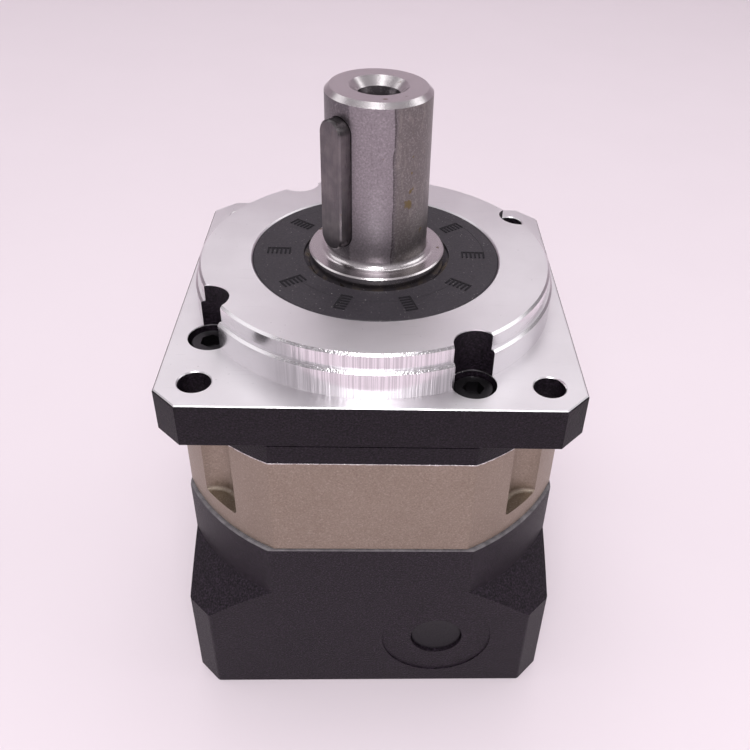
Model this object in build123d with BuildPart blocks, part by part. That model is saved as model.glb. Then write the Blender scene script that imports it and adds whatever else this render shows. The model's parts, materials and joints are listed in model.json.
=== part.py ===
from build123d import *

import os
from math import acos, cos, pi, radians, sin, tan

os.makedirs("parts", exist_ok=True)

# A one-stage planetary gearbox with a fixed ring gear and a ratio of 4 to 1.
# The origin is the centre of the output flange's mounting face, and +Z points along the output
# shaft, away from the body. Lengths are in millimetres, angles in degrees.

# Bodies
body_width = 86
flange_thickness = 10
flange_corner = 5
edge_break = 0.4
mounting_circle_radius = 50
mounting_hole_radius = 3.3
pilot_radius = 40
pilot_height = 6.3
boss_radius = 39
boss_height = 10
boss_bevel = 0.5
hole_bevel = 0.2
bore_bevel = 0.3
front_lip_radius = 23.5
neck_radius = 47.9
neck_back = -14.5
ring_radius = 47.8
ring_width = 85.6
ring_back = -40.5
ring_bevel = 0.25
flute_radius = 6
flute_floor = -35.3
flute_fillet = 1
adapter_radius = 48.6
cone_front = -55.1
cone_end_radius = 62
adapter_back = -90
base_corner = 5.2
base_corner_fillet = 1.2

# Screws, dowels and seals that join the bodies
screw_circle_radius = 40
screw_angle = 30
screw_radius = 2.5
screw_hole_radius = 2.7
screw_head_radius = 4.25
screw_head_height = 5
screw_length = 50
screw_hole_spare = 2
screw_seat = -6
counterbore_radius = 4.75
socket_radius = 4 / 2 / cos(radians(30))
socket_depth = 2.5
dowel_circle_radius = 39.5
dowel_angle = 75
dowel_radius = 2
dowel_front = -8.5
dowel_back = -46.5
o_ring_radius = 36.3
o_ring_section = 0.6
o_ring_groove_width = 1.3

# Gears
gear_module = 1.25
pressure_angle = radians(20)
sun_teeth = 18
planet_teeth = 18
ring_teeth = 54
planet_count = 3
first_planet_angle = 90
backlash = 0.08
dedendum = 1.25 * gear_module
planet_orbit = gear_module * (sun_teeth + planet_teeth) / 2
sun_tip_radius = gear_module * (sun_teeth / 2 + 1)
planet_tip_radius = gear_module * (planet_teeth / 2 + 1)
ring_tip_radius = gear_module * (ring_teeth / 2 - 0.8)
sun_root_radius = gear_module * sun_teeth / 2 - dedendum
planet_root_radius = gear_module * planet_teeth / 2 - dedendum
ring_root_radius = gear_module * ring_teeth / 2 + dedendum
gear_front = -22.25
gear_width = 16
sun_front = -21.9
sun_back = -38.8

# Planet bearings
planet_bore_radius = 6.55
planet_pin_radius = 4.5
pin_end_gap = 0.2
needle_radius = 0.98
needle_count = 15
needle_end_gap = 0.4
washer_radius = 8.6
washer_thickness = 0.8
washer_gap = 0.05

# Output shaft and carrier
shaft_radius = 11
shaft_end = 48
collar_front = 12
shaft_end_chamfer = 1
shaft_root_fillet = 1.6
shaft_edge_bevel = 0.3
centre_mouth_radius = 6.1
centre_radius = 4.4
thread_radius = 3.4
thread_front = 43
thread_back = 26
key_width = 6
key_length = 28
key_back = 16
key_angle = -135
keyway_bottom = 7.5
key_outer_face = 13.5
key_bevel = 0.3
carrier_radius = 32
carrier_front = -16.3
carrier_disk_back = -21.3
carrier_rear_disk_front = -39.2
carrier_back = -42.8
carrier_bore_radius = 13.5
carrier_window_radius = planet_tip_radius + 0.7
front_shoulder_radius = 18.5
rear_shoulder_radius = 22

# Ball bearings: bore radius, outside radius, width, front face, ball radius, ball count
front_bearing = (15, 27.5, 13, 0.3, 3.55, 11)
rear_bearing = (20, 26, 7, -43.3, 1.75, 24)
input_bearing = (15, 21, 7, -52.9, 1.75, 18)
ball_clearance = 0.08
pocket_clearance = 0.03
land_share = 0.53
race_corner_share = 0.08
cage_width_share = 0.38
cage_wall_share = 0.28

# Retaining rings
housing_clip_groove_radius = 29
housing_clip_inner_radius = 25.8
housing_clip_thickness = 2
housing_clip_eyes = (24.6, 2, 8)
shaft_clip_groove_radius = 14.3
shaft_clip_outer_radius = 17
shaft_clip_thickness = 1.5
shaft_clip_eyes = (17, 1.6, 6)
input_clip_groove_radius = 22.25
input_clip_inner_radius = 19.7
input_clip_thickness = 1.75
input_clip_eyes = (18.4, 1.3, 7)
clip_clearance = 0.1

# Shaft seals
seal_face = 9.85
seal_oil_side = 2.85
seal_mark_height = 0.15
seal_mark_circle_radius = 21.75
seal_marks_on_each_side = 5
seal_mark_length = 5.2
seal_mark_width = 2.6
seal_mark_line = 0.4
seal_mark_teeth = 6
lip_clearance = 0.05
input_seal_oil_side = -62
input_seal_face = -66

# Input shaft and motor clamp
input_track_radius = 16
input_hub_radius = 12.5
input_hub_front = -66.4
input_hub_end = -84
input_bore_radius = 9.5
input_bore_front = -54.5
sun_collar_length = 4
sun_cone_length = 3
journal_lead = 0.4
hub_bevel = 0.5
slit_width = 1.5
slit_front = -68
clamp_radius = 25
clamp_front = -66.7
clamp_length = 11
clamp_gap = 2
clamp_screw_offset = 16
clamp_screw_seat = -8
clamp_screw_length = 20
clamp_screw_clearance = 0.05

# Motor side of the adapter
carrier_recess_radius = 33.5
rear_lip_radius = 23.5
rear_lip_back = -51.3
wall_bore_radius = 19
cavity_radius = 28
cavity_front = -66.2
motor_pilot_radius = 35
motor_pilot_depth = 5
motor_circle_radius = 45
motor_thread_radius = 2.5
motor_thread_depth = 15

# Access hole and its plug, in the front of the adapter
access_height = -72.2
spotface_radius = 13.2
spotface_depth = 0.3
access_radius = 5
access_depth = 25
plug_radius = 6.2
plug_seat_radius = 6.25
plug_seat_depth = 6
plug_recess = 0.8
plug_dish_radius = 38
plug_dish_depth = 0.4


def save(piece, name):
    """Label a finished piece and write it to its own STEP file."""
    piece.part.label = name
    export_step(piece.part, f"parts/{name}.step")


def rims(piece, radius, height):
    """Circular edges of one radius at one height."""

    def matches(edge):
        return abs(edge.radius - radius) < 0.01 and abs(edge.arc_center.Z - height) < 0.01

    return piece.edges().filter_by(GeomType.CIRCLE).filter_by(matches)


def turned(*points):
    """Solid turned about the Z axis from a closed outline of radius and height pairs."""
    with BuildPart() as solid:
        with BuildSketch(Plane.XZ):
            with BuildLine():
                Polyline(*points, close=True)
            make_face()
        revolve(axis=Axis.Z)
    return solid.part


def tube(outer_radius, inner_radius, front, back):
    """Plain ring between two heights."""
    return turned((inner_radius, front), (outer_radius, front), (outer_radius, back), (inner_radius, back))


def front_plane(x, y, z):
    """Plane that faces -Y, with its X axis along +X."""
    return Plane(origin=(x, y, z), x_dir=(1, 0, 0), z_dir=(0, -1, 0))


def planet_plane(index, height):
    """Plane at a planet's centre whose X axis points away from the gearbox's axis."""
    outward = Vector(1, 0, 0).rotate(Axis.Z, first_planet_angle + 360 * index / planet_count)
    return Plane(origin=outward * planet_orbit + Vector(0, 0, height), x_dir=outward, z_dir=(0, 0, 1))


def involute(radius, base_radius):
    """Polar angle of an involute at a radius, counted from its start on the base circle."""
    pressure = acos(min(1, base_radius / radius))
    return tan(pressure) - pressure


def tooth(teeth, outer_radius, inner_radius, thinning):
    """Face of one involute tooth that points along +X and reaches a little inside its inner radius."""
    pitch_radius = gear_module * teeth / 2
    base_radius = pitch_radius * cos(pressure_angle)
    flank_start = max(inner_radius, base_radius)
    flank_middle = (flank_start + outer_radius) / 2
    half_tooth = (pi * gear_module / 2 - thinning) / 2 / pitch_radius

    def flank(radius, side):
        involute_radius = max(radius, flank_start)
        spread = half_tooth + involute(pitch_radius, base_radius) - involute(involute_radius, base_radius)
        return (radius * cos(spread), side * radius * sin(spread))

    with BuildSketch(mode=Mode.PRIVATE) as face:
        with BuildLine():
            for side in (-1, 1):
                Line(flank(inner_radius - 0.5, side), flank(flank_start, side))
                ThreePointArc(flank(flank_start, side), flank(flank_middle, side), flank(outer_radius, side))
            ThreePointArc(flank(outer_radius, -1), (outer_radius, 0), flank(outer_radius, 1))
            Line(flank(inner_radius - 0.5, 1), flank(inner_radius - 0.5, -1))
        make_face()
    return face.sketch


def bearing(name, bore_radius, outside_radius, width, front, ball_radius, ball_count):
    """Deep groove ball bearing, saved as an outer race, an inner race, the balls and a cage."""
    back = front - width
    middle = front - width / 2
    pitch_radius = (bore_radius + outside_radius) / 2
    land = land_share * ball_radius
    corner = race_corner_share * (outside_radius - bore_radius)

    with BuildPart() as outer_race:
        add(tube(outside_radius, pitch_radius + land, front, back))
        chamfer(rims(outer_race, outside_radius, front) + rims(outer_race, outside_radius, back), corner)
        with Locations((0, 0, middle)):
            Torus(pitch_radius, ball_radius + ball_clearance, mode=Mode.SUBTRACT)
    save(outer_race, f"{name}_outer_race")

    with BuildPart() as inner_race:
        add(tube(pitch_radius - land, bore_radius, front, back))
        chamfer(rims(inner_race, bore_radius, front) + rims(inner_race, bore_radius, back), corner)
        with Locations((0, 0, middle)):
            Torus(pitch_radius, ball_radius + ball_clearance, mode=Mode.SUBTRACT)
    save(inner_race, f"{name}_inner_race")

    with BuildPart() as balls:
        with Locations(Plane.XY.offset(middle)):
            with PolarLocations(pitch_radius, ball_count):
                Sphere(ball_radius)
    save(balls, f"{name}_balls")

    cage_front = middle + cage_width_share * width
    cage_back = middle - cage_width_share * width
    half_wall = cage_wall_share * ball_radius
    with BuildPart() as cage:
        add(tube(pitch_radius + half_wall, pitch_radius - half_wall, cage_front, cage_back))
        with Locations(Plane.XY.offset(middle)):
            with PolarLocations(pitch_radius, ball_count):
                Cylinder(ball_radius + pocket_clearance, ball_radius, rotation=(0, 90, 0), mode=Mode.SUBTRACT)
    save(cage, f"{name}_cage")


def circlip(name, outer_radius, inner_radius, front, thickness, eyes):
    """Open retaining ring with its gap on the +X side and a drilled eye at each side of the gap."""
    eye_offset, eye_radius, gap = eyes
    with BuildPart() as clip:
        with BuildSketch(Plane.XY.offset(front)):
            Circle(outer_radius)
            Circle(inner_radius, mode=Mode.SUBTRACT)
            with Locations((outer_radius, 0)):
                Rectangle(outer_radius, gap, mode=Mode.SUBTRACT)
            with Locations((eye_offset, gap / 2 + eye_radius), (eye_offset, -gap / 2 - eye_radius)):
                Circle(eye_radius)
                Circle(0.5 * eye_radius, mode=Mode.SUBTRACT)
        extrude(amount=thickness)
    save(clip, name)


def lip_seal(track_radius, bore_radius, face, oil_side):
    """Rotary shaft seal: outer sleeve, front wall, dust lip, and main lip with a groove for its spring."""
    lip_radius = track_radius + lip_clearance
    height = bore_radius - lip_radius
    depth = oil_side - face
    outline = [
        (0.97, 0),
        (1, 0.06),
        (1, 1),
        (0.88, 1),
        (0.88, 0.23),
        (0.26, 0.23),
        (0.21, 0.55),
        (0.21, 0.95),
        (0.1, 0.95),
        (0, 0.78),
        (0.1, 0.49),
        (0.11, 0.38),
        (0, 0.2),
        (0.1, 0.13),
        (0.1, 0),
    ]
    with BuildPart() as seal:
        add(turned(*[(lip_radius + height * across, face + depth * along) for across, along in outline]))
        add(garter_ring(track_radius, bore_radius, face, oil_side), mode=Mode.SUBTRACT)
    return seal.part


def garter_ring(track_radius, bore_radius, face, oil_side):
    """Ring that a seal's garter spring fills, in the back of its main lip."""
    height = bore_radius - track_radius
    with BuildPart() as ring:
        with Locations((0, 0, face + 0.78 * (oil_side - face))):
            Torus(track_radius + 0.2 * height, 0.052 * height)
    return ring.part


def o_ring_groove(front, back):
    """Space for an O-ring in the face of a body joint."""
    half_width = o_ring_groove_width / 2
    return tube(o_ring_radius + half_width, o_ring_radius - half_width, front, back)


def joint_holes(hole_radius):
    """Circles of the four housing screws' holes and the two dowels' holes."""
    with BuildSketch(mode=Mode.PRIVATE) as holes:
        with PolarLocations(screw_circle_radius, 4, start_angle=screw_angle):
            Circle(hole_radius)
        with PolarLocations(dowel_circle_radius, 2, start_angle=dowel_angle):
            Circle(dowel_radius)
    return holes.sketch


# Output housing: square flange with a stepped pilot in front and a round neck behind
front_bearing_front = front_bearing[3]
front_bearing_back = front_bearing_front - front_bearing[2]
front_bearing_radius = front_bearing[1]
housing_groove_front = front_bearing_front + housing_clip_thickness + clip_clearance
screw_holes = joint_holes(screw_hole_radius)

with BuildPart() as output_housing:
    with BuildSketch(Plane.XY.offset(-flange_thickness)) as flange_outline:
        Rectangle(body_width, body_width)
        chamfer(flange_outline.vertices(), flange_corner)
    extrude(amount=flange_thickness)
    chamfer(output_housing.faces().sort_by(Axis.Z)[-1].edges(), edge_break)
    fillet(output_housing.faces().sort_by(Axis.Z)[0].edges(), edge_break)
    with BuildSketch():
        Circle(pilot_radius)
    extrude(amount=pilot_height)
    chamfer(rims(output_housing, pilot_radius, pilot_height), boss_bevel)
    with BuildSketch():
        Circle(boss_radius)
    extrude(amount=boss_height)
    chamfer(rims(output_housing, boss_radius, boss_height), boss_bevel)
    with BuildSketch(Plane.XY.offset(neck_back)):
        Circle(neck_radius)
        Rectangle(body_width, body_width, mode=Mode.INTERSECT)
        with PolarLocations(mounting_circle_radius, 4, start_angle=45):
            Circle(flute_radius, mode=Mode.SUBTRACT)
    extrude(amount=-flange_thickness - neck_back)
    add(
        turned(
            (0, boss_height),
            (front_bearing_radius, boss_height),
            (front_bearing_radius, housing_groove_front),
            (housing_clip_groove_radius, housing_groove_front),
            (housing_clip_groove_radius, front_bearing_front),
            (front_bearing_radius, front_bearing_front),
            (front_bearing_radius, front_bearing_back),
            (front_lip_radius, front_bearing_back),
            (front_lip_radius, neck_back),
            (0, neck_back),
        ),
        mode=Mode.SUBTRACT,
    )
    chamfer(rims(output_housing, front_bearing_radius, boss_height), bore_bevel)
    with BuildSketch(Plane.XY.offset(-flange_thickness)):
        with PolarLocations(mounting_circle_radius, 4, start_angle=45):
            Circle(mounting_hole_radius)
    extrude(amount=flange_thickness, mode=Mode.SUBTRACT)
    chamfer(rims(output_housing, mounting_hole_radius, 0), hole_bevel)
    with BuildSketch(Plane.XY.offset(neck_back)):
        add(screw_holes)
    extrude(amount=dowel_front - neck_back, mode=Mode.SUBTRACT)
    with BuildSketch(Plane.XY.offset(neck_back)):
        with PolarLocations(screw_circle_radius, 4, start_angle=screw_angle):
            Circle(screw_hole_radius)
    extrude(amount=screw_seat - neck_back, mode=Mode.SUBTRACT)
    with BuildSketch(Plane.XY.offset(screw_seat)):
        with PolarLocations(screw_circle_radius, 4, start_angle=screw_angle):
            Circle(counterbore_radius)
    extrude(amount=boss_height - screw_seat, mode=Mode.SUBTRACT)
    add(o_ring_groove(neck_back + 2 * o_ring_section, neck_back), mode=Mode.SUBTRACT)
save(output_housing, "output_housing")


# Ring gear body: a tube with the gear's teeth inside and a flute at each corner outside
ring_space = tooth(ring_teeth, ring_root_radius, ring_tip_radius, -backlash)

with BuildPart() as ring_gear:
    with BuildSketch(Plane.XY.offset(ring_back)):
        Circle(ring_radius)
        Rectangle(ring_width, ring_width, mode=Mode.INTERSECT)
    extrude(amount=neck_back - ring_back)
    chamfer(ring_gear.faces().sort_by(Axis.Z)[-1].edges(), ring_bevel)
    chamfer(ring_gear.faces().sort_by(Axis.Z)[0].edges(), ring_bevel)
    with BuildSketch(Plane.XY.offset(flute_floor)):
        with PolarLocations(mounting_circle_radius, 4, start_angle=45):
            Circle(flute_radius)
    extrude(amount=neck_back - flute_floor, mode=Mode.SUBTRACT)
    fillet(rims(ring_gear, flute_radius, flute_floor), flute_fillet)
    with BuildSketch(Plane.XY.offset(ring_back)):
        Circle(ring_tip_radius)
        with PolarLocations(0, ring_teeth, start_angle=first_planet_angle + 180 / ring_teeth):
            add(ring_space)
        add(screw_holes)
    extrude(amount=neck_back - ring_back, mode=Mode.SUBTRACT)
save(ring_gear, "ring_gear")


# Motor adapter: a round front part that flares into a square base, bored for the bearings and the clamp
rear_bearing_radius = rear_bearing[1]
rear_bearing_front = rear_bearing[3]
rear_bearing_back = rear_bearing_front - rear_bearing[2]
input_bearing_radius = input_bearing[1]
input_bearing_front = input_bearing[3]
input_bearing_back = input_bearing_front - input_bearing[2]
input_groove_back = input_bearing_back - input_clip_thickness - clip_clearance
motor_pilot_front = adapter_back + motor_pilot_depth
cone_end = cone_front - (cone_end_radius - adapter_radius)
screw_tip = screw_seat - screw_length
adapter_thread_holes = joint_holes(screw_radius)

with BuildPart() as motor_adapter:
    with BuildSketch(Plane.XY.offset(adapter_back)) as base_outline:
        Rectangle(body_width, body_width)
        chamfer(base_outline.vertices(), base_corner)
        fillet(base_outline.vertices(), base_corner_fillet)
    extrude(amount=ring_back - adapter_back)
    chamfer(motor_adapter.faces().sort_by(Axis.Z)[0].edges(), edge_break)
    add(
        turned(
            (0, ring_back),
            (adapter_radius - edge_break, ring_back),
            (adapter_radius, ring_back - edge_break),
            (adapter_radius, cone_front),
            (cone_end_radius, cone_end),
            (cone_end_radius, adapter_back),
            (0, adapter_back),
        ),
        mode=Mode.INTERSECT,
    )
    add(
        turned(
            (0, ring_back),
            (carrier_recess_radius, ring_back),
            (carrier_recess_radius, rear_bearing_front),
            (rear_bearing_radius, rear_bearing_front),
            (rear_bearing_radius, rear_bearing_back),
            (rear_lip_radius, rear_bearing_back),
            (rear_lip_radius, rear_lip_back),
            (wall_bore_radius, rear_lip_back),
            (wall_bore_radius, input_bearing_front),
            (input_bearing_radius, input_bearing_front),
            (input_bearing_radius, input_bearing_back),
            (input_clip_groove_radius, input_bearing_back),
            (input_clip_groove_radius, input_groove_back),
            (input_bearing_radius, input_groove_back),
            (input_bearing_radius, cavity_front),
            (cavity_radius, cavity_front),
            (cavity_radius, motor_pilot_front),
            (motor_pilot_radius, motor_pilot_front),
            (motor_pilot_radius, adapter_back),
            (0, adapter_back),
        ),
        mode=Mode.SUBTRACT,
    )
    chamfer(rims(motor_adapter, motor_pilot_radius, adapter_back), edge_break)
    add(o_ring_groove(ring_back, ring_back - 2 * o_ring_section), mode=Mode.SUBTRACT)
    with BuildSketch(Plane.XY.offset(ring_back)):
        add(adapter_thread_holes)
    extrude(amount=dowel_back - ring_back, mode=Mode.SUBTRACT)
    with BuildSketch(Plane.XY.offset(ring_back)):
        with PolarLocations(screw_circle_radius, 4, start_angle=screw_angle):
            Circle(screw_radius)
    extrude(amount=screw_tip - screw_hole_spare - ring_back, mode=Mode.SUBTRACT)
    with BuildSketch(Plane.XY.offset(adapter_back)):
        with PolarLocations(motor_circle_radius, 4, start_angle=45):
            Circle(motor_thread_radius)
    extrude(amount=motor_thread_depth, mode=Mode.SUBTRACT)
    with BuildSketch(front_plane(clamp_screw_offset, -body_width / 2, access_height)):
        Circle(spotface_radius)
    extrude(amount=-spotface_depth, mode=Mode.SUBTRACT)
    with BuildSketch(front_plane(clamp_screw_offset, -body_width / 2, access_height)):
        Circle(plug_seat_radius)
    extrude(amount=-plug_seat_depth, mode=Mode.SUBTRACT)
    with BuildSketch(front_plane(clamp_screw_offset, -body_width / 2, access_height)):
        Circle(access_radius)
    extrude(amount=-access_depth, mode=Mode.SUBTRACT)
save(motor_adapter, "motor_adapter")


# Screws and dowels that hold the three bodies together
screw_head_top = screw_seat + screw_head_height

with BuildPart() as housing_screws:
    with BuildSketch(Plane.XY.offset(screw_seat)):
        with PolarLocations(screw_circle_radius, 4, start_angle=screw_angle):
            Circle(screw_head_radius)
    extrude(amount=screw_head_height)
    chamfer(housing_screws.faces().sort_by(Axis.Z)[-4:].edges(), edge_break)
    with BuildSketch(Plane.XY.offset(screw_head_top)):
        with PolarLocations(screw_circle_radius, 4, start_angle=screw_angle):
            RegularPolygon(socket_radius, 6)
    extrude(amount=-socket_depth, mode=Mode.SUBTRACT)
    with BuildSketch(Plane.XY.offset(screw_seat)):
        with PolarLocations(screw_circle_radius, 4, start_angle=screw_angle):
            Circle(screw_radius)
    extrude(amount=-screw_length)
save(housing_screws, "housing_screws")

with BuildPart() as dowel_pins:
    with BuildSketch(Plane.XY.offset(dowel_back)):
        with PolarLocations(dowel_circle_radius, 2, start_angle=dowel_angle):
            Circle(dowel_radius)
    extrude(amount=dowel_front - dowel_back)
    chamfer(dowel_pins.edges().filter_by(GeomType.CIRCLE), edge_break)
save(dowel_pins, "dowel_pins")

with BuildPart() as housing_o_ring:
    with Locations((0, 0, neck_back + o_ring_section)):
        Torus(o_ring_radius, o_ring_section)
save(housing_o_ring, "housing_o_ring")

with BuildPart() as adapter_o_ring:
    with Locations((0, 0, ring_back - o_ring_section)):
        Torus(o_ring_radius, o_ring_section)
save(adapter_o_ring, "adapter_o_ring")


# Output shaft, in one piece with the planet carrier
front_journal_radius = front_bearing[0]
rear_journal_radius = rear_bearing[0]
shaft_groove_front = front_bearing_front + shaft_clip_thickness + clip_clearance
key_middle = key_back + key_length / 2
key_outward = Vector(1, 0, 0).rotate(Axis.Z, key_angle)
key_plane = Plane(
    origin=key_outward * keyway_bottom + Vector(0, 0, key_middle), x_dir=(0, 0, 1), z_dir=key_outward
)

with BuildPart() as output_shaft:
    add(
        turned(
            (0, shaft_end),
            (shaft_radius, shaft_end),
            (shaft_radius, collar_front),
            (front_journal_radius, collar_front),
            (front_journal_radius, shaft_groove_front),
            (shaft_clip_groove_radius, shaft_groove_front),
            (shaft_clip_groove_radius, front_bearing_front),
            (front_journal_radius, front_bearing_front),
            (front_journal_radius, front_bearing_back),
            (front_shoulder_radius, front_bearing_back),
            (front_shoulder_radius, carrier_front),
            (carrier_radius, carrier_front),
            (carrier_radius, carrier_back),
            (rear_shoulder_radius, carrier_back),
            (rear_shoulder_radius, rear_bearing_front),
            (rear_journal_radius, rear_bearing_front),
            (rear_journal_radius, rear_bearing_back),
            (0, rear_bearing_back),
        )
    )
    chamfer(rims(output_shaft, shaft_radius, shaft_end), shaft_end_chamfer)
    fillet(rims(output_shaft, shaft_radius, collar_front), shaft_root_fillet)
    chamfer(rims(output_shaft, front_journal_radius, collar_front), shaft_edge_bevel)
    add(
        turned(
            (0, shaft_end),
            (centre_mouth_radius, shaft_end),
            (centre_radius, shaft_end - centre_mouth_radius + centre_radius),
            (centre_radius, thread_front + centre_radius - thread_radius),
            (thread_radius, thread_front),
            (thread_radius, thread_back),
            (0, thread_back - thread_radius / 2),
        ),
        mode=Mode.SUBTRACT,
    )
    with BuildSketch(key_plane):
        SlotOverall(key_length, key_width)
    extrude(amount=shaft_radius, mode=Mode.SUBTRACT)
    with BuildSketch(Plane.XY.offset(rear_bearing_back)):
        Circle(carrier_bore_radius)
    extrude(amount=carrier_disk_back - rear_bearing_back, mode=Mode.SUBTRACT)
    with BuildSketch(Plane.XY.offset(carrier_rear_disk_front)):
        with PolarLocations(planet_orbit, planet_count, start_angle=first_planet_angle):
            Circle(carrier_window_radius)
    extrude(amount=carrier_disk_back - carrier_rear_disk_front, mode=Mode.SUBTRACT)
    with BuildSketch(Plane.XY.offset(carrier_back)):
        with PolarLocations(planet_orbit, planet_count, start_angle=first_planet_angle):
            Circle(planet_pin_radius)
    extrude(amount=carrier_front - carrier_back, mode=Mode.SUBTRACT)
save(output_shaft, "output_shaft")

with BuildPart() as shaft_key:
    with BuildSketch(key_plane):
        SlotOverall(key_length, key_width)
    extrude(amount=key_outer_face - keyway_bottom)
    chamfer(shaft_key.faces().sort_by(Axis(origin=(0, 0, 0), direction=key_outward))[-1].edges(), key_bevel)
save(shaft_key, "shaft_key")


# Seals, with their garter springs
front_seal = (front_journal_radius, front_bearing_radius, seal_face, seal_oil_side)
input_seal_size = (input_track_radius, input_bearing_radius, input_seal_face, input_seal_oil_side)
seal_tooth_pitch = (seal_mark_length - seal_mark_line) / (seal_mark_teeth - 1)
seal_mark_step = 180 / seal_marks_on_each_side

with BuildPart() as output_seal:
    add(lip_seal(*front_seal))
    with BuildSketch(Plane.XY.offset(seal_face)):
        for side in (-1, 1):
            first_mark = 90 - 90 * side - 2 * seal_mark_step
            with PolarLocations(seal_mark_circle_radius, seal_marks_on_each_side, first_mark, 180):
                with Locations((0, side * (seal_mark_width - seal_mark_line) / 2)):
                    Rectangle(seal_mark_length, seal_mark_line)
                with GridLocations(seal_tooth_pitch, 0, seal_mark_teeth, 1):
                    Rectangle(seal_mark_line, seal_mark_width)
    extrude(amount=seal_mark_height)
save(output_seal, "output_seal")

with BuildPart() as seal_garter_spring:
    add(garter_ring(*front_seal))
save(seal_garter_spring, "seal_garter_spring")

with BuildPart() as input_seal:
    add(lip_seal(*input_seal_size))
save(input_seal, "input_seal")

with BuildPart() as input_seal_spring:
    add(garter_ring(*input_seal_size))
save(input_seal_spring, "input_seal_spring")


# Bearings and retaining rings
bearing("front_bearing", *front_bearing)
bearing("rear_bearing", *rear_bearing)
bearing("input_bearing", *input_bearing)
circlip(
    "bearing_circlip",
    housing_clip_groove_radius,
    housing_clip_inner_radius,
    front_bearing_front,
    housing_clip_thickness,
    housing_clip_eyes,
)
circlip(
    "shaft_circlip",
    shaft_clip_outer_radius,
    shaft_clip_groove_radius,
    front_bearing_front,
    shaft_clip_thickness,
    shaft_clip_eyes,
)
circlip(
    "input_circlip",
    input_clip_groove_radius,
    input_clip_inner_radius,
    input_bearing_back - input_clip_thickness,
    input_clip_thickness,
    input_clip_eyes,
)


# Planets, each on its own pin and needle rollers
gear_back = gear_front - gear_width
planet_tooth = tooth(planet_teeth, planet_tip_radius, planet_root_radius, backlash)
needle_orbit = (planet_bore_radius + planet_pin_radius) / 2

for index in range(planet_count):
    with BuildPart() as planet_gear:
        with BuildSketch(planet_plane(index, gear_back)):
            Circle(planet_root_radius)
            with PolarLocations(0, planet_teeth, start_angle=180 / planet_teeth):
                add(planet_tooth)
            Circle(planet_bore_radius, mode=Mode.SUBTRACT)
        extrude(amount=gear_width)
    save(planet_gear, f"planet_gear_{index + 1}")

    with BuildPart() as planet_pin:
        with BuildSketch(planet_plane(index, carrier_back + pin_end_gap)):
            Circle(planet_pin_radius)
        extrude(amount=carrier_front - carrier_back - 2 * pin_end_gap)
        chamfer(planet_pin.edges().filter_by(GeomType.CIRCLE), edge_break)
    save(planet_pin, f"planet_pin_{index + 1}")

    with BuildPart() as needle_rollers:
        with BuildSketch(planet_plane(index, gear_back + needle_end_gap)):
            with PolarLocations(needle_orbit, needle_count):
                Circle(needle_radius)
        extrude(amount=gear_width - 2 * needle_end_gap)
    save(needle_rollers, f"needle_rollers_{index + 1}")

front_washer_back = carrier_disk_back - washer_gap - washer_thickness

with BuildPart() as thrust_washers:
    for washer_back in (front_washer_back, carrier_rear_disk_front + washer_gap):
        with BuildSketch(Plane.XY.offset(washer_back)):
            with PolarLocations(planet_orbit, planet_count, start_angle=first_planet_angle):
                Circle(washer_radius)
                Circle(planet_pin_radius + washer_gap, mode=Mode.SUBTRACT)
        extrude(amount=washer_thickness)
save(thrust_washers, "thrust_washers")


# Input shaft: the sun gear at the front, a bearing seat, a seal track and a slit hub at the back
sun_tooth = tooth(sun_teeth, sun_tip_radius, sun_root_radius, backlash)
input_journal_radius = input_bearing[0]
journal_front = input_bearing_front + journal_lead
sun_collar_back = sun_back - sun_collar_length

with BuildPart() as input_sun_shaft:
    add(
        turned(
            (0, sun_back),
            (input_bore_radius, sun_back),
            (input_bore_radius, sun_collar_back),
            (input_hub_radius, sun_collar_back - sun_cone_length),
            (input_hub_radius, journal_front),
            (input_journal_radius, journal_front),
            (input_journal_radius, input_bearing_back),
            (input_track_radius, input_bearing_back),
            (input_track_radius, input_hub_front),
            (input_hub_radius, input_hub_front),
            (input_hub_radius, input_hub_end),
            (input_bore_radius, input_hub_end),
            (input_bore_radius, input_bore_front),
            (0, input_bore_front),
        )
    )
    with BuildSketch(Plane.XY.offset(sun_back)):
        Circle(sun_root_radius)
        with PolarLocations(0, sun_teeth, start_angle=first_planet_angle):
            add(sun_tooth)
    extrude(amount=sun_front - sun_back)
    chamfer(rims(input_sun_shaft, input_bore_radius, input_hub_end), hub_bevel)
    with BuildSketch(Plane.XY.offset(input_hub_end)):
        Rectangle(2 * input_track_radius, slit_width)
        Rectangle(slit_width, 2 * input_track_radius)
    extrude(amount=slit_front - input_hub_end, mode=Mode.SUBTRACT)
save(input_sun_shaft, "input_sun_shaft")


# Clamp collar round the slit hub, closed by one screw that is reached through the access hole
clamp_hole_radius = screw_radius + clamp_screw_clearance
clamp_screw_plane = front_plane(clamp_screw_offset, clamp_screw_seat, access_height)

with BuildPart() as clamp_collar:
    add(tube(clamp_radius, input_hub_radius, clamp_front, clamp_front - clamp_length))
    chamfer(clamp_collar.edges().filter_by(GeomType.CIRCLE), edge_break)
    with BuildSketch(Plane.XY.offset(clamp_front)):
        with Locations((clamp_radius, 0)):
            Rectangle(2 * (clamp_radius - input_hub_radius) + 1, clamp_gap)
    extrude(amount=-clamp_length, mode=Mode.SUBTRACT)
    with BuildSketch(clamp_screw_plane):
        Circle(counterbore_radius)
    extrude(amount=clamp_radius, mode=Mode.SUBTRACT)
    with BuildSketch(clamp_screw_plane):
        Circle(clamp_hole_radius)
    extrude(amount=-clamp_screw_length - 1, mode=Mode.SUBTRACT)
save(clamp_collar, "clamp_collar")

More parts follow.
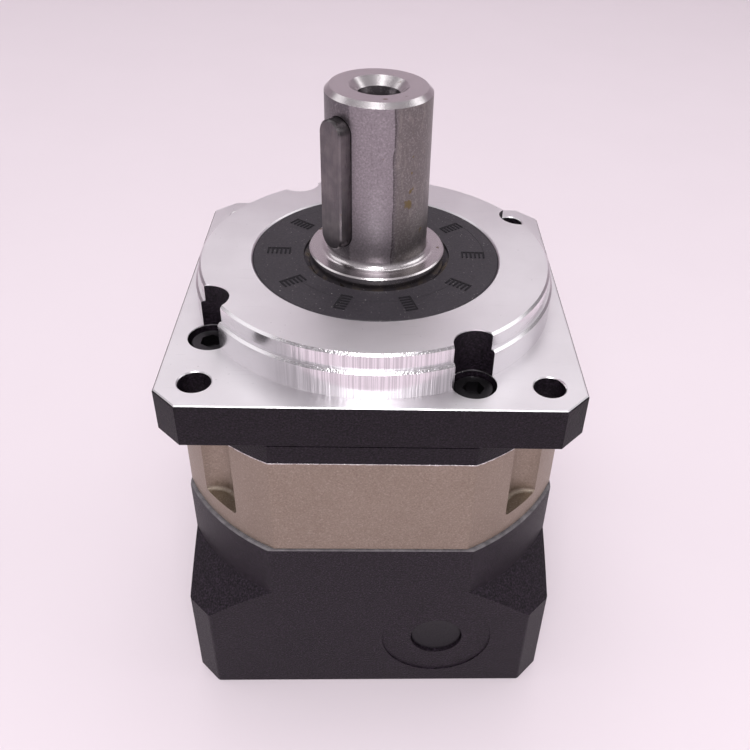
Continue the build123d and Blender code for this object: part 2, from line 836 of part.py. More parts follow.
with BuildPart() as clamp_screw:
    with BuildSketch(clamp_screw_plane):
        Circle(screw_head_radius)
    extrude(amount=screw_head_height)
    chamfer(clamp_screw.faces().sort_by(Axis.Y)[0].edges(), edge_break)
    with BuildSketch(front_plane(clamp_screw_offset, clamp_screw_seat - screw_head_height, access_height)):
        RegularPolygon(socket_radius, 6)
    extrude(amount=-socket_depth, mode=Mode.SUBTRACT)
    with BuildSketch(clamp_screw_plane):
        Circle(screw_radius)
    extrude(amount=-clamp_screw_length)
save(clamp_screw, "clamp_screw")


# Plug in the access hole, with a slightly dished face
plug_back = -body_width / 2 + plug_seat_depth
plug_front = -body_width / 2 + spotface_depth + plug_recess

with BuildPart() as access_plug:
    with BuildSketch(front_plane(clamp_screw_offset, plug_back, access_height)):
        Circle(plug_radius)
    extrude(amount=plug_back - plug_front)
    fillet(access_plug.faces().sort_by(Axis.Y)[0].edges(), edge_break)
    with Locations((clamp_screw_offset, plug_front + plug_dish_depth - plug_dish_radius, access_height)):
        Sphere(plug_dish_radius, mode=Mode.SUBTRACT)
save(access_plug, "access_plug")
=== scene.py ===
import json
from math import cos, pi, radians, sin

import bmesh
import bpy
from mathutils import Matrix, Vector


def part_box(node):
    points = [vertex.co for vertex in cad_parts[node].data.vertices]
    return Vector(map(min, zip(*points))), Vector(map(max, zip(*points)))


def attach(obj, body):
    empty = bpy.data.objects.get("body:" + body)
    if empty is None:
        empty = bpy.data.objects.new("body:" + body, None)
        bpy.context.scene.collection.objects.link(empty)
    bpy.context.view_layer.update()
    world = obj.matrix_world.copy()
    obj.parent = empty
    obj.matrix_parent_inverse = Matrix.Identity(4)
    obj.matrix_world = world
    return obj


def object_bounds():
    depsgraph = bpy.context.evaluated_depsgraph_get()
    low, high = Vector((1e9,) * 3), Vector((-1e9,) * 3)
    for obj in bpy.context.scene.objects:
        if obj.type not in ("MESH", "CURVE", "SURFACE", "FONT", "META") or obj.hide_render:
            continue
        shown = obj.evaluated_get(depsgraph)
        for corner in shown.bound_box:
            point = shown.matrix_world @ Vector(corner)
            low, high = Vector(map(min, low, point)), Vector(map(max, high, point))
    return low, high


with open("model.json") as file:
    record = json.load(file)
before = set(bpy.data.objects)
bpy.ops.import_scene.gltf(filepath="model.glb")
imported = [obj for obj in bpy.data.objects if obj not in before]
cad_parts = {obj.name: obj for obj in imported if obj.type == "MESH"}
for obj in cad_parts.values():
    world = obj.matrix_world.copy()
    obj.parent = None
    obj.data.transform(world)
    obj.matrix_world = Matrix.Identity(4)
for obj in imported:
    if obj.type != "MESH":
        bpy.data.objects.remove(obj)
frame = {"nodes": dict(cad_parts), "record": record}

# A planetary gearbox on a pale studio floor. The CAD nodes keep their shapes: this script gives each of
# them a procedural material and adds a burr that the CAD leaves out.
# Lengths inside the materials are in millimetres, and everywhere else they are in metres.

MM = 0.001
cad_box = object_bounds()
mounts = {mount["name"]: mount for mount in frame["record"]["mounts"]}


def mount_size(name, size):
    """One of a mount's sizes, in millimetres."""
    return mounts[name]["dims"][size]


def mount_height(name):
    """Height of a mount's middle, in millimetres."""
    return mounts[name]["pos_m"][2] / MM


# Heights and radii that the materials use, from the frame or, where it doesn't give them, as in the CAD
PILOT_BEVEL = 0.5
BOSS_STEP = 1
ROOT_FILLET = 1.6
MARK_HEIGHT = 0.15
BOSS_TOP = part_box("output_housing")[1].z / MM
HOUSING_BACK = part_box("output_housing")[0].z / MM
FLANGE_TOP = mount_height("output_flange")
PILOT_RADIUS = mount_size("output_pilot", "r_mm")
PILOT_TOP = mount_height("output_pilot") + mount_size("output_pilot", "length_mm") / 2 + PILOT_BEVEL
BOSS_RADIUS = PILOT_RADIUS - BOSS_STEP
COLLAR_TOP = mount_height("output_shaft") - mount_size("output_shaft", "length_mm") / 2 - ROOT_FILLET
SEAL_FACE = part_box("output_seal")[1].z / MM - MARK_HEIGHT
SEAL_BORE = 15
KEY_WIDTH = 6
ADAPTER_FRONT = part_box("motor_adapter")[1].z / MM

# Inside these radii the housing, the ring gear and the adapter are bare metal
HOUSING_BARE = 29.5
RING_BARE = 35
ADAPTER_BARE = 36

# Black powder coat of the housing and the adapter
COAT = (0.0080, 0.0055, 0.0085)

# Bands round the gearbox's axis: first and last angle and the softness of both ends, in degrees. The shaft's
# bands are painted reflections, and the boss's band holds chatter with painted dark streaks of reflection.
CHATTER_AND_PAINTED_STREAK_BAND = (-116, -66, 7)
SHAFT_MIDDLE_REFLECTION = (-121, -73, 1.5)
SHAFT_RIGHT_REFLECTION = (-71, 12, 3)
SHAFT_DARK_REFLECTION_LINE = (-73.6, -72.0, 0.6)
SEAL_FRONT_ARC = (-144, -40, 1)
SEAL_BACK_ARC = (0, 150, 1)

# Middle of the oil spot on the shaft, and the thickness of the gap that shows round the key
OIL_SPOT = (6.4, -9.0, COLLAR_TOP + 14.5)
GAP_WIDTH = 0.12


def scaled(colour, share):
    """Colour with each part multiplied by one number, up to 1."""
    return tuple(min(1, share * part) for part in colour)


class Look:
    """One procedural material, with short calls for the nodes that it is made of."""

    def __init__(self, name, colour, metallic, roughness):
        self.material = bpy.data.materials.new(name)
        self.material.use_nodes = True
        self.material.diffuse_color = (*colour, 1)
        self.tree = self.material.node_tree
        self.shader = self.tree.nodes["Principled BSDF"]
        coordinates = self.tree.nodes.new("ShaderNodeTexCoord")
        self.normal = coordinates.outputs["Normal"]
        self.position = self.vector("MULTIPLY", coordinates.outputs["Object"], (1 / MM, 1 / MM, 1 / MM))
        self.relief = None
        self.set("Base Color", (*colour, 1))
        self.set("Metallic", metallic)
        self.set("Roughness", roughness)

    def put(self, socket, value):
        """Link a node's output to a socket, or set the socket's own value."""
        if isinstance(value, bpy.types.NodeSocket):
            self.tree.links.new(value, socket)
        else:
            socket.default_value = value

    def set(self, name, value):
        """Set or link one of the shader's inputs."""
        self.put(self.shader.inputs[name], value)

    def vector(self, operation, first, second=None):
        """Product, length and the like of one or two vectors."""
        node = self.tree.nodes.new("ShaderNodeVectorMath")
        node.operation = operation
        self.put(node.inputs[0], first)
        if second is not None:
            self.put(node.inputs[1], second)
        name = "Value" if operation in ("LENGTH", "DOT_PRODUCT") else "Vector"
        return node.outputs[name]

    def math(self, operation, *values):
        """Power, root and the like of one or two numbers."""
        node = self.tree.nodes.new("ShaderNodeMath")
        node.operation = operation
        for socket, value in zip(node.inputs, values):
            self.put(socket, value)
        return node.outputs[0]

    def plus(self, first, second):
        """Sum of two numbers."""
        return self.math("ADD", first, second)

    def minus(self, first, second):
        """First number less the second."""
        return self.math("SUBTRACT", first, second)

    def times(self, first, second):
        """Product of two numbers."""
        return self.math("MULTIPLY", first, second)

    def larger(self, first, second):
        """Larger of two numbers."""
        return self.math("MAXIMUM", first, second)

    def parts(self, vector):
        """The X, Y and Z of a vector."""
        node = self.tree.nodes.new("ShaderNodeSeparateXYZ")
        self.put(node.inputs[0], vector)
        return node.outputs

    def height(self):
        """Height in the shared frame."""
        return self.parts(self.position)["Z"]

    def radius(self):
        """Distance from the gearbox's axis."""
        flat = self.vector("MULTIPLY", self.position, (1, 1, 0))
        return self.vector("LENGTH", flat)

    def angle(self):
        """Angle round the gearbox's axis, in degrees."""
        place = self.parts(self.position)
        return self.math("DEGREES", self.math("ARCTAN2", place["Y"], place["X"]))

    def facing_out(self):
        """One where the surface faces straight away from the gearbox's axis, and -1 where it faces it."""
        flat = self.vector("MULTIPLY", self.position, (1, 1, 0))
        return self.vector("DOT_PRODUCT", self.vector("NORMALIZE", flat), self.normal)

    def noise(self, scale, detail=2, roughness=0.5, stretch=(1, 1, 1)):
        """Soft noise with about `scale` features a millimetre, squeezed along each axis by `stretch`."""
        node = self.tree.nodes.new("ShaderNodeTexNoise")
        self.put(node.inputs["Vector"], self.vector("MULTIPLY", self.position, stretch))
        self.put(node.inputs["Scale"], scale)
        self.put(node.inputs["Detail"], detail)
        self.put(node.inputs["Roughness"], roughness)
        return node.outputs["Fac"]

    def line_noise(self, along, scale, detail):
        """Noise that varies along one number only."""
        node = self.tree.nodes.new("ShaderNodeTexNoise")
        node.noise_dimensions = "1D"
        self.put(node.inputs["W"], along)
        self.put(node.inputs["Scale"], scale)
        self.put(node.inputs["Detail"], detail)
        return node.outputs["Fac"]

    def remap(self, value, low, high, to_low=0, to_high=1):
        """Smooth step from one number to another as the value goes from low to high."""
        node = self.tree.nodes.new("ShaderNodeMapRange")
        node.interpolation_type = "SMOOTHSTEP"
        for name, given in (("Value", value), ("From Min", low), ("From Max", high)):
            self.put(node.inputs[name], given)
        self.put(node.inputs["To Min"], to_low)
        self.put(node.inputs["To Max"], to_high)
        return node.outputs["Result"]

    def within(self, value, low, high, soft):
        """One between two limits and zero outside them, with soft ends."""
        above = self.remap(value, low - soft, low + soft)
        below = self.remap(value, high - soft, high + soft, 1, 0)
        return self.times(above, below)

    def blend(self, share, first, second):
        """Colour that goes from the first to the second as the share goes from 0 to 1."""
        node = self.tree.nodes.new("ShaderNodeMix")
        node.data_type = "RGBA"
        self.put(node.inputs["Factor"], share)
        for name, colour in (("A", first), ("B", second)):
            socket = [s for s in node.inputs if s.name == name and s.type == "RGBA"][0]
            self.put(socket, colour if isinstance(colour, bpy.types.NodeSocket) else (*colour, 1))
        return [s for s in node.outputs if s.type == "RGBA"][0]

    def bump(self, height, depth):
        """Raise the surface by `depth` millimetres where the height is 1, over what is there already."""
        node = self.tree.nodes.new("ShaderNodeBump")
        self.put(node.inputs["Height"], height)
        node.inputs["Strength"].default_value = 1
        node.inputs["Distance"].default_value = depth * MM
        if self.relief is not None:
            self.put(node.inputs["Normal"], self.relief)
        self.relief = node.outputs["Normal"]
        self.set("Normal", self.relief)

    def turned(self, amount):
        """Stretch the gloss across cutting marks that run round the gearbox's axis."""
        node = self.tree.nodes.new("ShaderNodeTangent")
        node.direction_type = "RADIAL"
        node.axis = "Z"
        self.set("Anisotropic", amount)
        self.set("Tangent", node.outputs["Tangent"])


def powder_coat(look, colour):
    """Fine grain, clouds and specks of a black powder coat. Returns its colour, roughness and grain."""
    grain = look.noise(2.3, 3, 0.7)
    cloud = look.noise(0.06, 3, 0.6)
    speck = look.remap(look.noise(3.0, 1), 0.60, 0.72)
    base = look.blend(cloud, scaled(colour, 0.8), scaled(colour, 1.2))
    base = look.blend(look.remap(grain, 0.5, 0.34, 0, 0.95), base, scaled(colour, 0.08))
    base = look.blend(look.remap(grain, 0.5, 0.66, 0, 0.9), base, scaled(colour, 3.2))
    base = look.blend(look.times(speck, 0.5), base, scaled(colour, 4.0))
    roughness = look.remap(grain, 0.3, 0.7, 0.40, 0.56)
    return base, roughness, grain


def bare_metal(look, colour, rings_along, marked):
    """Turned metal with handling marks where `marked` is one. Returns its colour, roughness and rings."""
    rings = look.line_noise(rings_along, 4.0, 3)
    stain = look.noise(0.1, 3, 0.6)
    scratch = look.remap(look.noise(0.8, 2, 0.5, (0.12, 4.0, 1)), 0.69, 0.73)
    fleck = look.remap(look.noise(1.4, 2), 0.72, 0.76)
    base = look.blend(look.remap(stain, 0.35, 0.7), scaled(colour, 0.97), colour)
    marks = look.larger(look.times(scratch, 0.14), look.times(fleck, 0.35))
    base = look.blend(look.times(marks, marked), base, scaled(colour, 0.4))
    roughness = look.plus(look.remap(stain, 0.2, 0.8, 0.27, 0.31), look.times(rings, 0.08))
    return base, roughness, rings


def coat_over_metal(look, bare, coat, coat_roughness, metal, metal_roughness):
    """Show the metal where `bare` is one and the coat elsewhere. Returns the coat's share."""
    coated = look.minus(1, bare)
    look.set("Base Color", look.blend(bare, coat, metal))
    look.set("Metallic", bare)
    look.set("Roughness", look.plus(look.times(bare, metal_roughness), look.times(coated, coat_roughness)))
    return coated


def housing_look():
    """Black coated casting whose flange face, pilot and boss are turned bright after coating."""
    look = Look("housing_aluminium", (0.80, 0.77, 0.80), 1, 0.3)
    radius = look.radius()
    height = look.height()
    faces_up = look.remap(look.parts(look.normal)["Z"], 0.78, 0.86)
    upward = look.times(faces_up, look.remap(height, FLANGE_TOP - 0.55, FLANGE_TOP - 0.45))
    pilot_and_boss = look.within(radius, BOSS_RADIUS - 0.7, PILOT_RADIUS + 0.4, 0.05)
    side = look.times(pilot_and_boss, look.remap(look.facing_out(), 0.55, 0.65))
    side = look.times(side, look.remap(height, FLANGE_TOP - 0.02, FLANGE_TOP + 0.02))
    inside = look.remap(radius, HOUSING_BARE - 0.1, HOUSING_BARE + 0.1, 1, 0)
    inside = look.times(inside, look.remap(height, HOUSING_BACK - 0.1, HOUSING_BACK))

    # Thin bright lines that the cut leaves along the edges of the flange, the boss and the pilot
    lips = look.within(height, FLANGE_TOP - 0.22, FLANGE_TOP + 0.05, 0.02)
    lips = look.larger(lips, look.remap(height, BOSS_TOP - 0.3, BOSS_TOP - 0.25))
    pilot_lip = look.within(height, PILOT_TOP - 0.25, PILOT_TOP + 0.02, 0.02)
    outside_boss = look.remap(radius, BOSS_RADIUS, BOSS_RADIUS + 0.1)
    lips = look.larger(lips, look.times(pilot_lip, outside_boss))
    machined = look.larger(look.larger(upward, side), look.larger(inside, lips))

    # Streaks that the tool's chatter leaves on the front of the boss's side, bumped and also painted into the
    # colour as dark streaks of reflection
    chatter = look.noise(3.4, 1, 0.5, (1, 1, 0.01))
    front_side = look.times(side, look.within(look.angle(), *CHATTER_AND_PAINTED_STREAK_BAND))

    coat, coat_roughness, coat_grain = powder_coat(look, COAT)
    metal, metal_roughness, rings = bare_metal(look, (0.83, 0.80, 0.83), radius, upward)
    # Painted reflection: dark streaks in the bare metal's colour on the front of the boss's side
    painted_reflection_streaks = look.times(front_side, look.remap(chatter, 0.40, 0.58, 0.45, 0))
    metal = look.blend(painted_reflection_streaks, metal, (0.33, 0.31, 0.33))
    metal_roughness = look.minus(metal_roughness, look.times(side, 0.12))
    metal_roughness = look.plus(metal_roughness, look.times(upward, 0.10))
    coated = coat_over_metal(look, machined, coat, coat_roughness, metal, metal_roughness)
    look.set("Specular IOR Level", 0.16)
    look.turned(0.35)
    look.bump(look.times(coated, coat_grain), 0.16)
    look.bump(look.times(upward, rings), 0.006)
    look.bump(look.times(front_side, chatter), 0.07)
    return look.material


def ring_look():
    """Champagne nickel finish over a bead-blasted surface, bare at the cut teeth and along the front rim."""
    look = Look("nickel_finish", (0.42, 0.34, 0.30), 1, 0.42)
    grain = look.noise(2.6, 3, 0.7)
    cloud = look.noise(0.08, 3, 0.6)
    base = look.blend(cloud, (0.285, 0.232, 0.185), (0.350, 0.288, 0.236))
    base = look.blend(look.remap(grain, 0.5, 0.72, 0, 0.5), base, (0.56, 0.48, 0.41))
    base = look.blend(look.remap(grain, 0.5, 0.3, 0, 0.6), base, (0.22, 0.16, 0.13))
    inside = look.remap(look.radius(), RING_BARE - 0.1, RING_BARE + 0.1, 1, 0)
    ragged = look.plus(look.height(), look.times(look.noise(0.8, 3, 0.6), 0.5))
    rim = look.remap(ragged, HOUSING_BACK - 0.16, HOUSING_BACK - 0.10)
    bare = look.larger(inside, rim)
    look.set("Base Color", look.blend(bare, base, (0.80, 0.76, 0.76)))
    look.set("Roughness", look.minus(look.remap(grain, 0.3, 0.7, 0.38, 0.52), look.times(bare, 0.16)))
    look.bump(look.times(look.minus(1, inside), grain), 0.13)
    return look.material


def adapter_look():
    """Black coated adapter with bare bores and a coat that shows wear along its front rim."""
    look = Look("coated_aluminium", (0.035, 0.029, 0.036), 0, 0.45)
    height = look.height()
    inward = look.remap(look.facing_out(), -0.6, -0.5, 1, 0)
    bore = look.times(look.remap(look.radius(), ADAPTER_BARE - 0.1, ADAPTER_BARE, 1, 0), inward)
    coat, coat_roughness, coat_grain = powder_coat(look, scaled(COAT, 1.35))
    metal, metal_roughness, rings = bare_metal(look, (0.70, 0.69, 0.70), height, bore)
    rim = look.times(look.remap(height, ADAPTER_FRONT - 0.42, ADAPTER_FRONT - 0.36), 0.5)
    coat = look.blend(look.times(rim, look.noise(0.5, 3, 0.6)), coat, (0.5, 0.47, 0.49))
    coated = coat_over_metal(look, bore, coat, coat_roughness, metal, metal_roughness)
    look.set("Specular IOR Level", 0.20)
    look.bump(look.times(coated, coat_grain), 0.14)
    look.bump(look.times(bore, rings), 0.004)
    return look.material


def shaft_look():
    """Ground steel shaft: a pebbly grain, painted reflections in bands along it, oil stains and a dark gap
    round its key.
    """
    look = Look("ground_steel", (0.40, 0.37, 0.38), 1, 0.3)
    streak = look.noise(0.9, 3, 0.6, (1, 1, 0.05))
    grain = look.noise(2.6, 2, 0.7)
    dents = look.noise(1.3, 3, 0.6, (1, 1, 0.3))

    # Painted reflections in bands along the shaft: dark outside a lighter middle band, a tan right band and a
    # dark line; their edges wander by up to 4 degrees
    wander = look.minus(look.times(look.noise(0.5, 2, 0.5, (1, 1, 0.3)), 8), 4)
    turn = look.plus(look.angle(), wander)
    # right: the tan band of painted reflection, which also holds the shaft's dull dents
    right = look.within(turn, *SHAFT_RIGHT_REFLECTION)
    base = look.blend(look.within(turn, *SHAFT_MIDDLE_REFLECTION), (0.150, 0.137, 0.147), (0.285, 0.258, 0.276))
    base = look.blend(right, base, (0.190, 0.173, 0.168))
    base = look.blend(look.within(turn, *SHAFT_DARK_REFLECTION_LINE), base, (0.10, 0.088, 0.092))
    base = look.blend(look.remap(grain, 0.5, 0.7, 0, 0.24), base, (0.62, 0.57, 0.60))
    base = look.blend(look.remap(grain, 0.5, 0.3, 0, 0.35), base, (0.12, 0.105, 0.115))
    dull_dents = look.times(right, look.remap(dents, 0.52, 0.66, 0, 0.35))
    base = look.blend(dull_dents, base, (0.34, 0.31, 0.29))
    base = look.blend(look.remap(streak, 0.60, 0.74, 0, 0.35), base, (0.15, 0.13, 0.14))

    # The end, the collar and all that lies behind it are turned, not ground
    faces_up = look.remap(look.parts(look.normal)["Z"], 0.3, 0.5)
    turned_part = look.larger(faces_up, look.remap(look.height(), COLLAR_TOP + 1.5, COLLAR_TOP + 0.5))
    base = look.blend(turned_part, base, (0.68, 0.64, 0.655))

    # Oil: scattered stains and one spot with a ragged edge
    stains = look.remap(look.noise(0.42, 2, 0.5, (1, 1, 0.7)), 0.72, 0.76)
    away = look.vector("LENGTH", look.vector("SUBTRACT", look.position, OIL_SPOT))
    ragged = look.plus(away, look.times(look.noise(1.2, 3, 0.6), 2))
    oil = look.larger(stains, look.remap(ragged, 2.15, 1.7))
    base = look.blend(look.times(oil, 0.7), base, (0.17, 0.12, 0.03))

    base = look.blend(look.times(key_gap(look), 0.95), base, (0.006, 0.005, 0.006))
    look.set("Base Color", base)
    look.set("Roughness", look.minus(look.remap(grain, 0.3, 0.7, 0.37, 0.42), look.times(turned_part, 0.16)))
    look.turned(0.25)
    look.bump(look.times(grain, look.minus(1, turned_part)), 0.010)
    look.bump(look.times(right, dents), 0.03)
    return look.material


def key_gap(look):
    """One on the shaft beside the key, within a thin line round the keyway, and zero elsewhere."""
    low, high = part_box("shaft_key")
    middle = (low + high) / 2 / MM
    outward = Vector((middle.x, middle.y, 0)).normalized()
    across = outward.cross(Vector((0, 0, 1)))
    half_width = KEY_WIDTH / 2
    reach = (high.z - low.z) / 2 / MM - half_width
    sideways = look.vector("DOT_PRODUCT", look.position, tuple(across))
    towards_key = look.vector("DOT_PRODUCT", look.position, tuple(outward))
    along = look.math("ABSOLUTE", look.minus(look.height(), middle.z))
    past = look.larger(look.minus(along, reach), 0)
    squares = look.plus(look.math("POWER", past, 2), look.math("POWER", sideways, 2))
    distance = look.math("SQRT", squares)
    line = look.remap(distance, half_width + GAP_WIDTH, half_width + 2 * GAP_WIDTH, 1, 0)
    return look.times(line, look.remap(towards_key, 5, 6))


def key_look():
    """Drawn key steel, with its grain along the key."""
    look = Look("key_steel", (0.30, 0.28, 0.28), 1, 0.3)
    grain = look.noise(2.4, 3, 0.6, (1, 1, 0.05))
    cloud = look.noise(0.25, 3, 0.6)
    spots = look.remap(look.noise(1.5, 2), 0.66, 0.74)
    base = look.blend(look.remap(cloud, 0.35, 0.7), (0.125, 0.114, 0.121), (0.175, 0.158, 0.162))
    base = look.blend(look.times(look.remap(grain, 0.45, 0.7), 0.08), base, (0.40, 0.37, 0.36))
    base = look.blend(look.times(spots, 0.5), base, (0.16, 0.12, 0.08))
    look.set("Base Color", base)
    look.set("Roughness", look.remap(grain, 0.3, 0.7, 0.27, 0.33))
    look.bump(grain, 0.003)
    return look.material


def seal_look():
    """Charcoal nitrile rubber with dust, raised marks, thin moulded arcs and an oil film beside the shaft."""
    look = Look("seal_rubber", (0.050, 0.044, 0.052), 0, 0.6)
    radius = look.radius()
    turn = look.angle()
    grain = look.noise(3.0, 3, 0.6)
    cloud = look.noise(0.16, 3, 0.6)
    base = look.blend(cloud, (0.020, 0.0165, 0.0215), (0.034, 0.029, 0.036))
    raised = look.remap(look.height(), SEAL_FACE + 0.03, SEAL_FACE + 0.06)
    base = look.blend(look.times(raised, 0.85), base, (0.006, 0.005, 0.007))
    film = look.remap(radius, SEAL_BORE + 1.6, SEAL_BORE + 0.6)
    film = look.times(film, look.remap(look.noise(0.35, 3, 0.6), 0.45, 0.6))
    base = look.blend(look.times(film, 0.5), base, (0.10, 0.075, 0.04))
    dust = look.remap(look.noise(2.6, 1), 0.73, 0.78)
    base = look.blend(look.times(dust, 0.6), base, (0.42, 0.39, 0.39))
    front_arc = look.times(look.within(radius, 20.22, 20.38, 0.06), look.within(turn, *SEAL_FRONT_ARC))
    back_arc = look.times(look.within(radius, 24.42, 24.58, 0.06), look.within(turn, *SEAL_BACK_ARC))
    arcs = look.larger(front_arc, back_arc)
    base = look.blend(look.times(arcs, 0.6), base, (0.012, 0.010, 0.013))
    look.set("Base Color", base)
    rough = look.plus(look.remap(grain, 0.3, 0.7, 0.46, 0.62), look.times(raised, 0.3))
    look.set("Roughness", look.minus(rough, look.times(film, 0.25)))
    look.set("Specular IOR Level", 0.34)
    look.bump(grain, 0.03)
    look.bump(arcs, 0.06)
    return look.material


def plain_metal(name, colour, rough, grain_scale, stretch, spread=0.15):
    """Metal with a fine grain, a slow change of tone and small flecks."""
    look = Look(name, colour, 1, rough)
    grain = look.noise(grain_scale, 3, 0.6, stretch)
    cloud = look.noise(0.2, 3, 0.6)
    fleck = look.remap(look.noise(3.0, 1), 0.70, 0.76)
    base = look.blend(cloud, scaled(colour, 1 - spread), scaled(colour, 1 + spread))
    base = look.blend(look.times(fleck, 0.3), base, scaled(colour, 0.5))
    look.set("Base Color", base)
    look.set("Roughness", look.remap(grain, 0.3, 0.7, rough - 0.06, rough + 0.08))
    look.bump(grain, 0.006)
    return look.material


def moulded(name, colour, rough, grain_scale, depth, gloss=0.5):
    """Plastic or rubber with a moulded grain and a slow change of tone."""
    look = Look(name, colour, 0, rough)
    grain = look.noise(grain_scale, 3, 0.6)
    cloud = look.noise(0.3, 3, 0.6)
    look.set("Base Color", look.blend(cloud, scaled(colour, 0.85), scaled(colour, 1.2)))
    look.set("Roughness", look.remap(grain, 0.3, 0.7, rough - 0.07, rough + 0.07))
    look.set("Specular IOR Level", gloss)
    look.bump(grain, depth)
    return look.material


looks = {
    "housing_aluminium": housing_look(),
    "coated_aluminium": adapter_look(),
    "nickel_finish": ring_look(),
    "ground_steel": shaft_look(),
    "key_steel": key_look(),
    "gear_steel": plain_metal("gear_steel", (0.45, 0.45, 0.46), 0.34, 3.0, (0.1, 0.1, 1.5)),
    "bearing_steel": plain_metal("bearing_steel", (0.70, 0.70, 0.71), 0.14, 2.0, (1, 1, 3), 0.06),
    "black_oxide": plain_metal("black_oxide", (0.060, 0.056, 0.062), 0.42, 3.5, (1, 1, 1), 0.25),
    "spring_steel": plain_metal("spring_steel", (0.30, 0.30, 0.31), 0.3, 3.0, (1, 1, 1)),
    "seal_rubber": seal_look(),
    "o_ring_rubber": moulded("o_ring_rubber", (0.02, 0.02, 0.02), 0.45, 2.0, 0.01),
    "cage_polymer": moulded("cage_polymer", (0.62, 0.55, 0.40), 0.5, 2.0, 0.02),
    "plug_plastic": moulded("plug_plastic", (0.011, 0.009, 0.012), 0.5, 3.5, 0.03, 0.28),
}
for subpart in frame["record"]["subparts"]:
    surface = frame["nodes"][subpart["node"]].data.materials
    surface.clear()
    surface.append(looks[subpart["material_slot"]])


# A bright curl of metal that the last cut left on the rim of the right front mounting hole
def rim_burr(middle, radius, first, last, steps):
    """Thin ragged sliver that stands on the rim of a hole, from one angle to another in degrees."""
    mesh = bpy.data.meshes.new("hole_burr")
    curl = bmesh.new()
    rows = []
    for step in range(steps + 1):
        share = step / steps
        turn = radians(first + (last - first) * share)
        swell = sin(pi * share) * (0.75 + 0.25 * sin(9 * share * pi))
        out = Vector((cos(turn), sin(turn), 0))
        foot = middle + out * radius
        outline = [
            (0.10, -0.10),
            (0.10 + 0.30 * swell, 0.03),
            (-0.05 - 0.42 * swell, 0.16 * swell),
            (-0.12, -0.06),
        ]
        rows.append([curl.verts.new((foot + out * away + Vector((0, 0, up))) * MM) for away, up in outline])
    for one, two in zip(rows, rows[1:]):
        for side in range(4):
            curl.faces.new((one[side], one[(side + 1) % 4], two[(side + 1) % 4], two[side]))
    curl.faces.new(rows[0][::-1])
    curl.faces.new(rows[-1])
    bmesh.ops.recalc_face_normals(curl, faces=curl.faces)
    curl.to_mesh(mesh)
    curl.free()
    sliver = bpy.data.objects.new("hole_burr", mesh)
    bpy.context.scene.collection.objects.link(sliver)
    return sliver


hole_place = mount_size("output_flange", "pcd_mm") / 2 * sin(pi / 4)
hole_middle = Vector((hole_place, -hole_place, FLANGE_TOP))
burr = rim_burr(hole_middle, mount_size("output_flange", "hole_r_mm"), first=-5, last=62, steps=28)
burr.data.materials.append(plain_metal("fresh_aluminium", (0.88, 0.85, 0.88), 0.25, 3.0, (1, 1, 1), 0.08))
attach(burr, "housing")


# Floor: a seamless sheet that curves up into a wall far behind the gearbox
def sweep_stage(floor_height, front, back, bend, height, half_width, steps):
    """Mesh of the studio's floor and back wall, joined by a wide round bend."""
    profile = [(front, 0), (back, 0)]
    for step in range(1, steps + 1):
        turn = pi / 2 * step / steps
        profile.append((back + bend * sin(turn), bend - bend * cos(turn)))
    profile.append((back + bend, height))
    mesh = bpy.data.meshes.new("studio_floor")
    sheet = bmesh.new()
    edges = []
    for y, z in profile:
        edges.append([sheet.verts.new((x, y, floor_height + z)) for x in (-half_width, half_width)])
    for low, high in zip(edges, edges[1:]):
        face = sheet.faces.new((low[0], low[1], high[1], high[0]))
        face.smooth = True
    sheet.to_mesh(mesh)
    sheet.free()
    stage = bpy.data.objects.new("studio_floor", mesh)
    bpy.context.scene.collection.objects.link(stage)
    return stage


floor = sweep_stage(cad_box[0].z, front=-2.5, back=1.3, bend=0.7, height=2.6, half_width=3.0, steps=24)
paper = Look("studio_paper", (0.82, 0.73, 0.785), 0, 0.9)
paper.set("Base Color", paper.blend(paper.noise(0.02, 2), (0.725, 0.640, 0.694), (0.743, 0.658, 0.712)))
paper.set("Specular IOR Level", 0.1)
floor.data.materials.append(paper.material)


# Light: soft boxes in front, above and behind, weak ones at the sides, and a pale room
def soft_box(name, place, aim, width, height, power, mirrored=True):
    """Rectangular area light that faces a point, and that may be kept out of mirror reflections."""
    data = bpy.data.lights.new(name, "AREA")
    data.shape = "RECTANGLE"
    data.size = width
    data.size_y = height
    data.energy = power
    lamp = bpy.data.objects.new(name, data)
    lamp.visible_glossy = mirrored
    lamp.location = place
    lamp.rotation_euler = (Vector(aim) - Vector(place)).to_track_quat("-Z", "Y").to_euler()
    bpy.context.scene.collection.objects.link(lamp)


soft_box("front", (-0.03, -0.95, 1.05), (0, 0, 0), width=0.26, height=0.9, power=8)
soft_box("fill", (0.0, -0.9, 0.8), (0, -0.3, -0.1), width=0.8, height=0.6, power=7, mirrored=False)
soft_box("left", (-1.0, 0.1, 0.7), (0, 0, 0), width=0.9, height=0.5, power=1.3)
soft_box("right", (1.0, 0.1, 0.7), (0, 0, 0), width=0.9, height=0.5, power=2.0)
soft_box("overhead", (-0.1, 0.1, 1.3), (0, 0, 0), width=1.0, height=0.7, power=4)
soft_box("back", (0.0, 1.0, 1.4), (0, 0.6, 0), width=1.6, height=0.8, power=5)


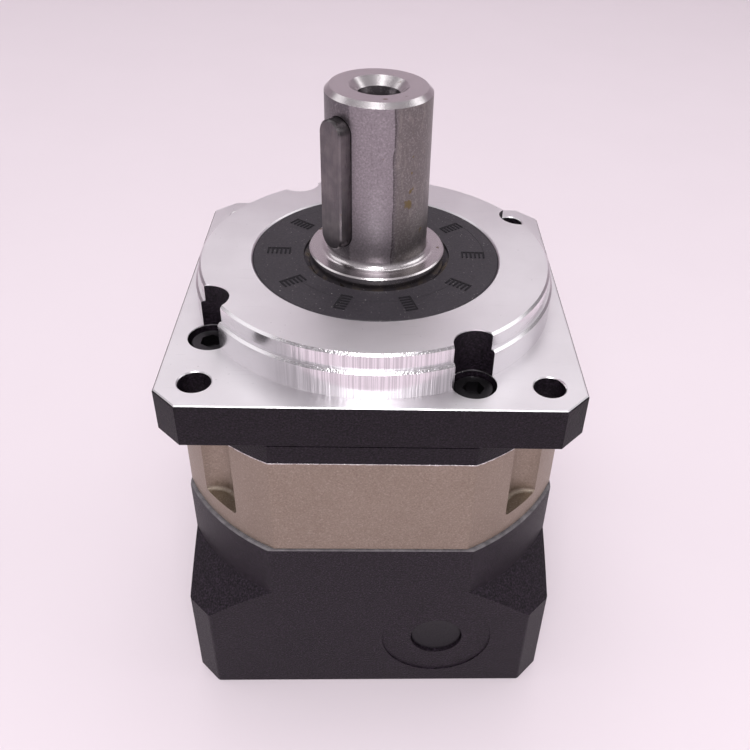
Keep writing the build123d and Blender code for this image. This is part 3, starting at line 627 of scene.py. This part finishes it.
def room_light(strength, bright, dark):
    """Pale room that is darker to the left and the right than in front, behind and above."""
    room = bpy.data.worlds.new("room")
    room.use_nodes = True
    nodes = room.node_tree.nodes
    links = room.node_tree.links
    towards = nodes.new("ShaderNodeTexCoord")
    across = nodes.new("ShaderNodeVectorMath")
    across.operation = "MULTIPLY"
    across.inputs[1].default_value = (1, 0, 0)
    links.new(towards.outputs["Generated"], across.inputs[0])
    sideways = nodes.new("ShaderNodeVectorMath")
    sideways.operation = "LENGTH"
    links.new(across.outputs["Vector"], sideways.inputs[0])
    shade = nodes.new("ShaderNodeValToRGB")
    shade.color_ramp.interpolation = "EASE"
    shade.color_ramp.elements[0].position = 0.5
    shade.color_ramp.elements[0].color = (*bright, 1)
    shade.color_ramp.elements[1].position = 0.9
    shade.color_ramp.elements[1].color = (*dark, 1)
    links.new(sideways.outputs["Value"], shade.inputs["Fac"])
    background = nodes["Background"]
    background.inputs["Strength"].default_value = strength
    links.new(shade.outputs["Color"], background.inputs["Color"])
    return room


bpy.context.scene.world = room_light(0.43, (0.93, 0.88, 0.92), (0.62, 0.58, 0.61))
bpy.context.scene.view_settings.view_transform = "Standard"


# Camera: in front of the plug's side, 37 degrees above the horizon
CAMERA_PLACE = Vector((0.47, -168.19, 105.38)) * MM
CAMERA_DOWN = radians(36.64)
CAMERA_TURN = radians(-4.28)
CAMERA_ROLL = radians(3.53)
CAMERA_LENS = 40.8
CAMERA_SENSOR = 36
CAMERA_SHIFT = (-0.0706, -0.0198)
camera_data = bpy.data.cameras.new("camera")
camera_data.lens = CAMERA_LENS
camera_data.sensor_width = CAMERA_SENSOR
camera_data.shift_x, camera_data.shift_y = CAMERA_SHIFT
camera_data.clip_start = 0.005
camera = bpy.data.objects.new("camera", camera_data)
camera.matrix_world = (
    Matrix.Translation(CAMERA_PLACE)
    @ Matrix.Rotation(CAMERA_TURN, 4, "Z")
    @ Matrix.Rotation(pi / 2 - CAMERA_DOWN, 4, "X")
    @ Matrix.Rotation(CAMERA_ROLL, 4, "Z")
)
bpy.context.scene.collection.objects.link(camera)
bpy.context.scene.camera = camera
